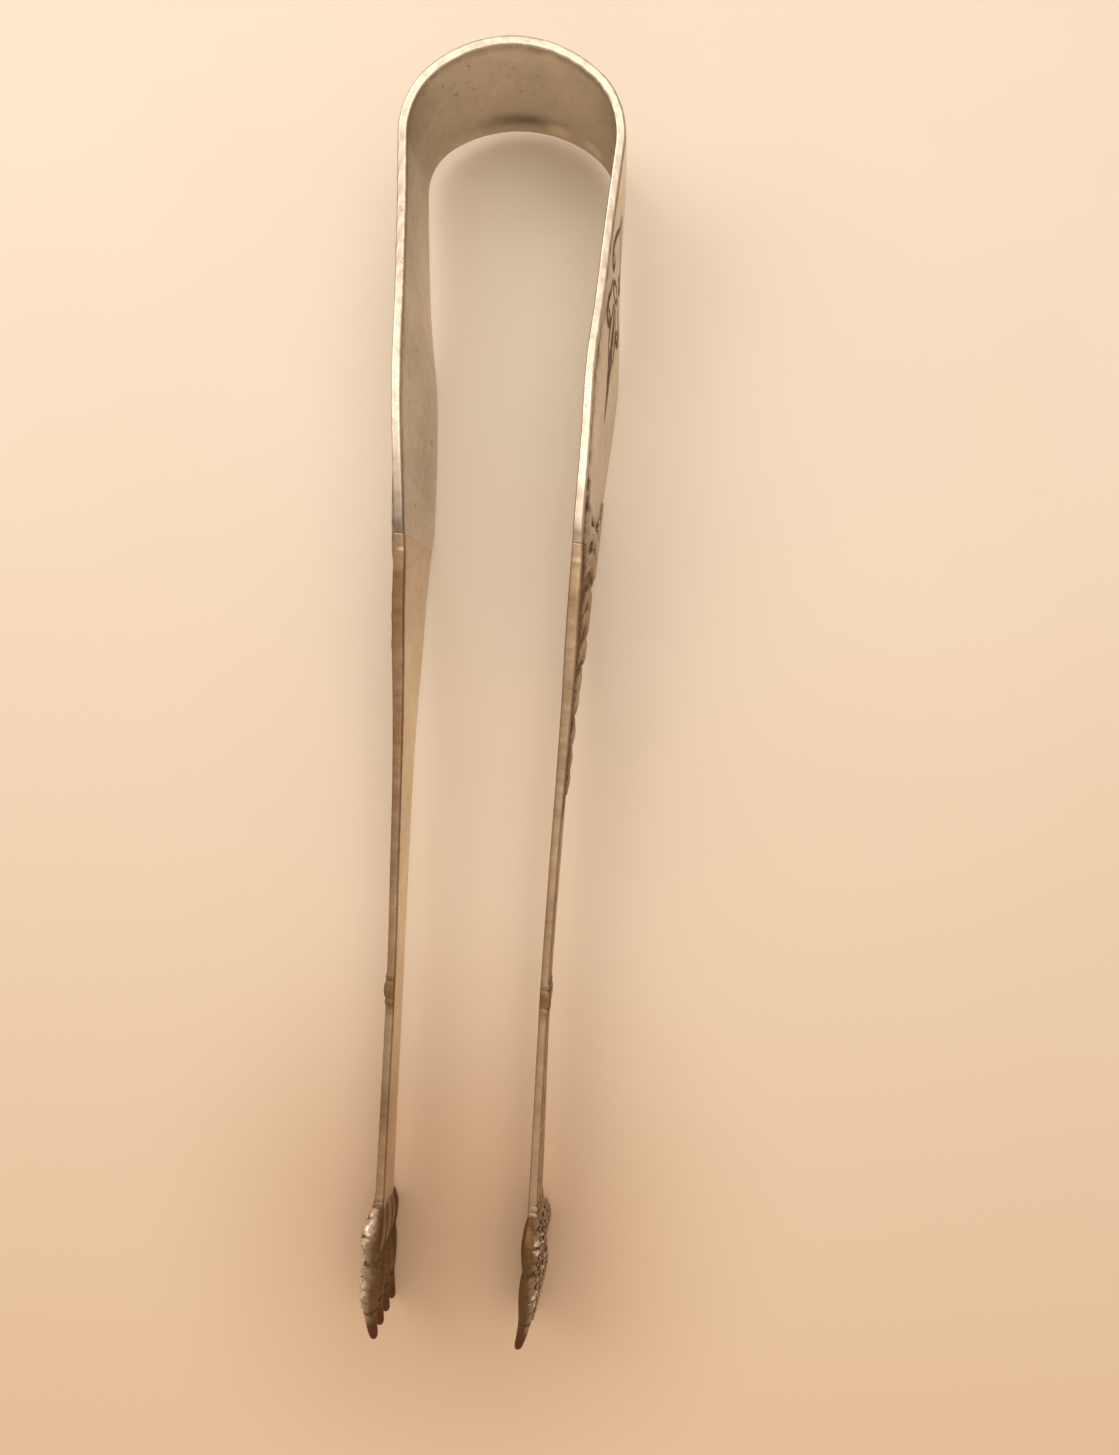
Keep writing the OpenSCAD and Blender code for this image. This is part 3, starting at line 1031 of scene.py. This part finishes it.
# ---------------------------------------------------------------------------------------------------
# Beads and scutes in rows
# ---------------------------------------------------------------------------------------------------
@dataclass
class BeadRow:
    """Geometry Nodes tree that sets rounded beads along lines, with named inputs for their sizes."""

    lengths: tuple[str, ...] = ("Spacing", "Length", "Width", "Height")
    tree: bpy.types.NodeTree = field(init=False)
    sockets: dict[str, str] = field(init=False, default_factory=dict)

    def __post_init__(self) -> None:
        """Builds the tree once."""
        self.tree = bpy.data.node_groups.new("bead_row", "GeometryNodeTree")
        face = self.tree.interface
        face.new_socket("Geometry", in_out="INPUT", socket_type="NodeSocketGeometry")
        kinds = {"Seed": "Int", "Finish": "Material"}
        for name in (*self.lengths, "End Scale", "Unevenness", *kinds):
            kind = kinds.get(name, "Float")
            item = face.new_socket(name, in_out="INPUT", socket_type=f"NodeSocket{kind}")
            self.sockets[name] = item.identifier
        face.new_socket("Geometry", in_out="OUTPUT", socket_type="NodeSocketGeometry")
        t = Tree(self.tree)
        given = t.add("NodeGroupInput").outputs
        curve = t.add("GeometryNodeMeshToCurve", {"Mesh": given["Geometry"]})
        even = t.add("GeometryNodeResampleCurve", {"Curve": curve.outputs[0], "Length": given["Spacing"]},
                     mode="LENGTH")
        bead = t.add("GeometryNodeMeshIcoSphere", {"Radius": 0.5, "Subdivisions": 2})
        out_dir = t.add("GeometryNodeInputNamedAttribute", {"Name": "outward"}, data_type="FLOAT_VECTOR")
        tangent = t.add("GeometryNodeInputTangent")
        turn = t.add("FunctionNodeAlignRotationToVector", {"Vector": tangent.outputs[0]}, axis="Y")
        turn = t.add("FunctionNodeAlignRotationToVector",
                     {"Rotation": turn.outputs[0], "Vector": out_dir.outputs[0]}, axis="Z", pivot_axis="Y")
        size = t.add("ShaderNodeCombineXYZ", {0: given["Width"], 1: given["Length"], 2: given["Height"]})
        along = t.add("GeometryNodeSplineParameter")
        taper = t.ramp(along.outputs["Factor"], to=(1.0, given["End Scale"]))
        low, high = (t.calc(operation, 1.0, given["Unevenness"]) for operation in ("SUBTRACT", "ADD"))
        rand = t.add("FunctionNodeRandomValue", {2: low, 3: high, "Seed": given["Seed"]}, data_type="FLOAT")
        factor = t.calc("MULTIPLY", taper, rand.outputs[1])
        scale = t.add("ShaderNodeVectorMath", {0: size.outputs[0], "Scale": factor}, operation="SCALE")
        placed = t.add("GeometryNodeInstanceOnPoints",
                       {"Points": even.outputs[0], "Instance": bead.outputs["Mesh"],
                        "Rotation": turn.outputs[0], "Scale": scale.outputs[0]})
        real = t.add("GeometryNodeRealizeInstances", {0: placed.outputs[0]})
        soft = t.add("GeometryNodeSetShadeSmooth", {0: real.outputs[0]})
        dressed = t.add("GeometryNodeSetMaterial", {"Geometry": soft.outputs[0], "Material": given["Finish"]})
        t.add("NodeGroupOutput", {0: dressed.outputs[0]})

    def lay(self, name: str, lines: Sequence[tuple[np.ndarray, np.ndarray]], side: Side,
            sizes: dict[str, float], finish: bpy.types.Material, film: float) -> bpy.types.Object:
        """Sets beads along lines on one side and returns them as a plain mesh.

        Args:
            name: piece name.
            lines: for each row, its points and outward directions, in mm in the tongs' own frame.
            side: which half it belongs to.
            sizes: named inputs of the tree, lengths in mm.
            finish: the beads' material.
            film: how dark the film on the beads is.

        Returns:
            The mesh object, with its modifier already turned into mesh.
        """
        mirror = np.array([side.value, 1, 1])
        points, outward, edges = [], [], []
        for line, out in lines:
            first = len(points)
            points += LIE.place(BEND.apply(line * mirror, side)).tolist()
            outward += (out * mirror @ np.array(LIE.matrix)[:3, :3].T).tolist()
            edges += [(first + i, first + i + 1) for i in range(len(line) - 1)]
        path = bpy.data.meshes.new(f"{name}_path")
        path.from_pydata(points, edges, [])
        layer = path.attributes.new("outward", "FLOAT_VECTOR", "POINT")
        layer.data.foreach_set("vector", np.array(outward, dtype=np.float32).ravel())
        carrier = link(f"{name}_path", path)
        modifier = carrier.modifiers.new("rows", "NODES")
        modifier.node_group = self.tree
        for key, value in sizes.items():
            modifier[self.sockets[key]] = value * MM if key in self.lengths else value
        modifier[self.sockets["Finish"]] = finish
        graph = bpy.context.evaluated_depsgraph_get()
        mesh = bpy.data.meshes.new_from_object(carrier.evaluated_get(graph))
        bpy.data.objects.remove(carrier)
        mesh.name = name
        tone = mesh.attributes.new("tone", "FLOAT", "POINT")
        tone.data.foreach_set("value", np.full(len(mesh.vertices), film, dtype=np.float32))
        if not mesh.materials:
            mesh.materials.append(finish)
        return link(name, mesh)


# ---------------------------------------------------------------------------------------------------
# Sub-assemblies
# ---------------------------------------------------------------------------------------------------
@dataclass
class Bow:
    """The sprung strip, in two halves that meet at the crown and follow the bends of its plan."""

    finish: bpy.types.Material
    thickness: float = 0.9
    shoulder_thickness: float = 0.95
    end_y: float = 17.0
    hinge: tuple[float, float] = (9.46, 46.0)
    bend_reach: float = 12.0
    # painted highlights inside the right half of the crown: distance, height, size
    glints: tuple[tuple[float, float, float], ...] = ((3.6, -5.0, 0.75), (7.8, -4.6, 0.7))

    def rows(self) -> np.ndarray:
        """Where the rows lie: close at the seam on the crown and over the relief.

        Returns:
            Their distances from the crown in mm.
        """
        relief = PLAN.distance_to(50.0)
        end = PLAN.distance_to(self.end_y)
        seam = np.array([0.0, 0.02, 0.06, 0.14, 0.3])
        return np.concatenate([seam, np.arange(0.55, relief, 0.32), np.arange(relief, end, 0.135), [end]])

    def build(self, side: Side) -> bpy.types.Object:
        """Makes one half of the strip.

        Args:
            side: which half.

        Returns:
            The finished piece.
        """
        s = self.rows()
        y = PLAN.rows(s)[0][:, 1]
        thick = self.thickness + (self.shoulder_thickness - self.thickness) * (1 - smoothstep(17, 30, y))
        if side is Side.RIGHT:
            section = StripSection(glints=self.glints, bright_from=(19.0, 23.0))
        else:
            section = StripSection(bright_from=(24.0, 27.5))
        skin = section.skin(s, thick, np.zeros_like(s), seed=11 + side.value)
        piece = make_object(f"bow_strip_{side.tag}", [skin], side, self.finish)
        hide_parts("bow", f"bow_side_{side.tag}")
        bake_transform(piece)
        return piece


@dataclass
class Arm:
    """A cast arm: foliage, a plain length, the knop, a reeded stem and the neck ring."""

    finish: bpy.types.Material
    top_y: float = 17.0
    neck_y: float = -48.2
    knop_y: float = -26.0
    relief_end_y: float = -9.0
    thickness: Profile = Profile((-48.0, -30.0, -8.0, 2.0, 8.0, 14.0, 17.0),
                                 (0.9, 0.84, 0.88, 1.05, 1.15, 1.1, 0.95))

    def rings(self) -> list[tuple[float, float, float]]:
        """Centre, half width and height of every ring round the stem."""
        k, n = self.knop_y, self.neck_y
        return [(k, 0.85, 0.22), (k + 1.2, 0.32, 0.09), (k - 1.2, 0.32, 0.09), (n + 1.5, 0.3, 0.1),
                (n + 0.75, 0.4, 0.18)]

    def rows(self) -> np.ndarray:
        """Where the rows lie: closer over the relief and the rings.

        Returns:
            Their distances from the crown in mm.
        """
        d, end, k, n = PLAN.distance_to, self.relief_end_y, self.knop_y, self.neck_y
        cuts = ((self.top_y, end, 0.13), (end, k + 1.6, 0.4), (k + 1.6, k - 1.6, 0.06),
                (k - 1.6, n + 2.2, 0.4), (n + 2.2, n, 0.05))
        return np.concatenate([np.arange(d(a), d(b), step) for a, b, step in cuts] + [[d(n)]])

    def build(self, side: Side) -> bpy.types.Object:
        """Makes one arm.

        Args:
            side: which half.

        Returns:
            The finished piece.
        """
        s = self.rows()
        y = PLAN.rows(s)[0][:, 1]
        # the left arm's edges are set darker than the right's
        section = StripSection(edge_darkening=1.05 if side is Side.LEFT else 0.8)
        skin = section.skin(s, self.thickness(y), beads(y, self.rings()), seed=31 + side.value)
        piece = make_object(f"arm_casting_{side.tag}", [skin], side, self.finish)
        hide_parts(f"arm_{side.tag}")
        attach(piece, side.body)
        return piece


@dataclass
class Claw:
    """A bird's claw: a short palm and four toes side by side, each with two knuckles and a talon."""

    finish: bpy.types.Material
    toe_z: tuple[float, ...] = (2.98, 0.993, -0.993, -2.98)
    flesh_y: tuple[float, float] = (-57.4, -56.5)
    knuckles: tuple[tuple[float, float], ...] = ((-49.8, 0.9), (-54.6, 1.2))
    scuted_y: tuple[float, float] = (-56.6, -48.4)
    crease_y: float = -52.15
    cuff_y: float = -57.1
    scute_h: float = 0.07
    pebble_h: float = 0.035
    palm_x: float = 7.58
    rows: int = 120
    cols: int = 44
    height: Profile = Profile(
        (-60.0, -59.6, -58.6, -57.2, -56.0, -54.5, -53.0, -52.1, -51.2, -49.8, -48.5, -47.5),
        (0.16, 0.42, 0.55, 0.68, 0.88, 0.98, 0.86, 0.68, 0.88, 1.04, 0.85, 0.45))
    width: Profile = Profile((-60.0, -59.6, -58.6, -57.2, -56.0, -54.5, -52.1, -49.8, -48.5, -47.5),
                             (0.16, 0.44, 0.6, 0.76, 0.9, 0.92, 0.88, 0.92, 0.78, 0.5))

    def soil(self, side: Side) -> float:
        """How much darker than usual the film of one foot is: the right one is the more soiled."""
        return 0.3 if side is Side.RIGHT else 0.0

    def toe_line(self, z: float) -> np.ndarray:
        """Middle line of a toe from the palm to the point of its talon.

        Args:
            z: how far across the foot the toe stands.

        Returns:
            Rows by 3 points in mm.
        """
        knots = ((7.5, -47.6, z * 0.52), (7.6, -48.7, z * 0.8), (7.66, -50.0, z * 0.97), (7.6, -52.1, z),
                 (7.62, -54.5, z), (7.55, -56.6, z), (7.3, -58.4, z * 1.01), (6.98, -59.85, z * 1.01))
        return spline(knots, self.rows)

    def toe(self, z: float, soil: float) -> Skin:
        """One toe.

        Args:
            z: how far across the foot the toe stands.
            soil: how much darker than usual its film is.

        Returns:
            Its closed skin, with dark grooves where it meets its neighbours and its talon marked.
        """
        line = self.toe_line(z)
        y = line[:, 1]
        deep, across = self.height(y), self.width(y)
        out, wide = self.toe_frame(line)
        a = np.linspace(0, 2 * math.pi, self.cols, endpoint=False)
        back = np.clip(np.cos(a) + 0.25, 0, 1)
        scute = self.scute_h * np.abs(np.sin((y + 47.3) * 2.55)) * smoothstep(-57.3, -56.4, y)
        pebble = np.sin(y * 6.1 + 1.3 * z)[:, None] * np.sin(a * 6)[None, :] * back[None, :]
        pebble = self.pebble_h * pebble
        flesh = smoothstep(*self.flesh_y, y)[:, None]
        n = deep[:, None] * np.cos(a)[None, :] * np.where(np.cos(a) < 0, 0.82, 1.0)[None, :]
        n = n + (scute[:, None] * back[None, :] + pebble) * flesh * np.cos(a)[None, :]
        w = (across[:, None] + pebble * flesh) * np.sin(a)[None, :]
        pts = line[:, None, :] + out[:, None, :] * n[..., None] + wide[:, None, :] * w[..., None]
        outermost = np.sign(z) * (abs(z) > 2)
        between = smoothstep(0.72, 1.0, np.abs(np.sin(a))) * (np.sign(np.sin(a)) != outermost)
        notch = np.exp(-((y - self.crease_y) / 0.34) ** 2)[:, None] * (0.45 + 0.55 * back)[None, :]
        gaps = (np.clip(1 - scute / 0.026, 0, 1) * smoothstep(-57.0, -56.6, y))[:, None] * back[None, :] * 0.8
        pits = np.clip(-pebble / 0.02, 0, 1) * 0.3
        cuff = np.exp(-((y - self.cuff_y) / 0.2) ** 2)[:, None] * 0.9
        recess = np.clip(between[None, :] * flesh + notch + (gaps + pits) * flesh + cuff, 0, 1)
        talon = np.repeat(1 - smoothstep(-58.6, -57.2, y)[:, None], self.cols, 1)
        shine = np.clip(sum(np.exp(-((y - at) / half) ** 2) for at, half in self.knuckles), 0, 1)
        polish = np.clip(shine[:, None] * back[None, :] * 1.1 - recess - 1.1 * soil, 0, 1)
        tone = np.repeat(0.95 + soil - 0.6 * back[None, :], len(y), 0)
        return Skin(pts, {"recess": recess, "talon": talon, "polish": polish, "tone": tone})

    @staticmethod
    def toe_frame(line: np.ndarray) -> tuple[np.ndarray, np.ndarray]:
        """Two directions square to a toe at every row.

        Args:
            line: rows by 3 points of its middle line.

        Returns:
            Unit vectors out of the back of the toe, and across it towards +Z.
        """
        tangent = np.gradient(line, axis=0)
        tangent /= np.linalg.norm(tangent, axis=1)[:, None]
        out = np.cross(np.array([0.0, 0.0, 1.0]), tangent)
        out /= np.linalg.norm(out, axis=1)[:, None]
        out *= np.sign(out[:, :1])
        wide = np.cross(tangent, out)
        wide *= np.sign(wide[:, 2:3])
        return out, wide

    def palm(self) -> Skin:
        """The palm, which spreads from the neck ring to the roots of the toes.

        Returns:
            Its closed skin, with small scales on the back.
        """
        rows, cols = 60, 64
        stations = (-52.6, -51.8, -50.0, -48.6, -47.45)
        y = np.linspace(stations[-1], stations[0], rows)
        hw = Profile(stations, (2.4, 3.5, 3.35, 2.5, 1.9))(y)
        thick = Profile(stations, (0.2, 0.5, 0.72, 0.66, 0.45))(y)
        a = np.linspace(0, 2 * math.pi, cols, endpoint=False)
        c, s = np.cos(a), np.sin(a)
        n = thick[:, None] * (np.sign(c) * np.abs(c) ** 0.55)[None, :]
        z = hw[:, None] * (np.sign(s) * np.abs(s) ** 0.8)[None, :]
        scale = 0.07 * np.abs(np.sin(y * 4.4))[:, None] * np.abs(np.cos(z * 3.1)) * np.clip(c, 0, 1)[None, :]
        pts = np.stack([self.palm_x + n + scale, np.repeat(y[:, None], cols, 1), z], axis=-1)
        recess = np.clip(1 - scale / 0.02, 0, 1) * np.clip(c, 0, 1)[None, :] * 0.7
        return Skin(pts, {"recess": recess, "tone": np.full_like(recess, 0.75)})

    def build(self, side: Side) -> bpy.types.Object:
        """Makes one claw foot.

        Args:
            side: which half.

        Returns:
            The finished piece.
        """
        skins = [self.palm()] + [self.toe(z, self.soil(side)) for z in self.toe_z]
        piece = make_object(f"claw_foot_{side.tag}", skins, side, self.finish)
        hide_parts(f"claw_{side.tag}")
        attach(piece, side.body)
        return piece

    def scutes(self, side: Side, row: BeadRow) -> bpy.types.Object:
        """Makes the raised scutes along the back of each toe.

        Args:
            side: which half.
            row: the bead tree.

        Returns:
            The finished piece.
        """
        lines = []
        low, high = self.scuted_y
        for z in self.toe_z:
            line = self.toe_line(z)
            line = line[(line[:, 1] < high) & (line[:, 1] > low)]
            out = np.zeros_like(line)
            out[:, 0] = 1.0
            lines.append((line + out * (self.height(line[:, 1])[:, None] + 0.02), out))
        sizes = {"Spacing": 0.74, "Length": 0.66, "Width": 1.2, "Height": 0.3, "End Scale": 0.9,
                 "Unevenness": 0.12, "Seed": 9}
        film = 0.45 + self.soil(side)
        piece = row.lay(f"toe_scutes_{side.tag}", lines, side, sizes, self.finish, film)
        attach(piece, side.body)
        return piece


# ---------------------------------------------------------------------------------------------------
# Studio
# ---------------------------------------------------------------------------------------------------
@dataclass
class Studio:
    """Pale tabletop, a small lamp over the crown, a window to the left, a ceiling, and a close camera."""

    eye_mm: tuple[float, float, float] = (8.76, 4.81, 90.09)
    turn_deg: tuple[float, float, float] = (-2.964, 1.159, 3.424)
    sensor_mm: float = 36.0
    lens_mm: float = 23.15381
    table_half: float = 1.5
    lights: tuple[tuple[str, tuple[float, float, float], float, float, str], ...] = (
        ("lamp", (-0.02, 0.12, 0.19), 0.27, 0.22, "#f8f6fb"),
        ("window", (-0.32, 0.18, 0.26), 0.26, 0.55, "#fff6ee"),
        ("ceiling", (0.18, 0.02, 0.46), 0.4, 0.58, "#fff1e2"))
    world_tint: str = "#ab9884"
    world_strength: float = 1.5

    def camera(self) -> None:
        """Sets up the camera in the tongs' own frame and lays it down with them."""
        data = bpy.data.cameras.new("camera")
        data.sensor_width, data.lens = self.sensor_mm, self.lens_mm
        data.clip_start, data.clip_end = 0.005, 10.0
        cam = link("camera", data)
        v = Vector([math.radians(a) for a in self.turn_deg])
        turn = Matrix.Rotation(v.length, 4, v.normalized())
        cam.matrix_world = LIE.matrix @ Matrix.Translation(Vector(self.eye_mm) * MM) @ turn
        bpy.context.scene.camera = cam

    def area(self, name: str, where: tuple[float, float, float], size: float, power: float,
             tint: str) -> None:
        """Adds a square soft light that looks at the middle of the tongs.

        Args:
            name: light name.
            where: its place in metres.
            size: side of the square in metres.
            power: watts.
            tint: sRGB hex colour.
        """
        data = bpy.data.lights.new(name, "AREA")
        data.size, data.energy, data.color = size, power, colour(tint)[:3]
        obj = link(name, data)
        obj.location = where
        obj.rotation_euler = (-Vector(where)).to_track_quat("-Z", "Y").to_euler()

    def build(self) -> None:
        """Makes the floor, the lights, the world and the camera."""
        floor = bpy.data.meshes.new("tabletop")
        h = self.table_half
        floor.from_pydata([(-h, -h, 0), (h, -h, 0), (h, h, 0), (-h, h, 0)], [], [(0, 1, 2, 3)])
        floor.materials.append(TableFinish().build())
        link("tabletop", floor)
        for light in self.lights:
            self.area(*light)
        world = bpy.data.worlds.new("room")
        world.use_nodes = True
        back = world.node_tree.nodes["Background"]
        back.inputs["Color"].default_value = colour(self.world_tint)
        back.inputs["Strength"].default_value = self.world_strength
        bpy.context.scene.world = world
        bpy.context.scene.view_settings.view_transform = "Standard"
        self.camera()


def main() -> None:
    """Loads the frame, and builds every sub-assembly and the studio."""
    logging.basicConfig(level=logging.INFO, format="%(name)s: %(message)s")
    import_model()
    bow, arm = Bow(ROLLED_SILVER.build()), Arm(CAST_SILVER.build())
    claw, row = Claw(CLAW_SILVER.build()), BeadRow()
    for side in Side:
        for make in (bow.build, arm.build, claw.build):
            piece = make(side)
            LOG.info("%s: %d faces", piece.name, len(piece.data.polygons))
        piece = claw.scutes(side, row)
        LOG.info("%s: %d faces", piece.name, len(piece.data.polygons))
    Studio().build()


if __name__ == "__main__":
    main()
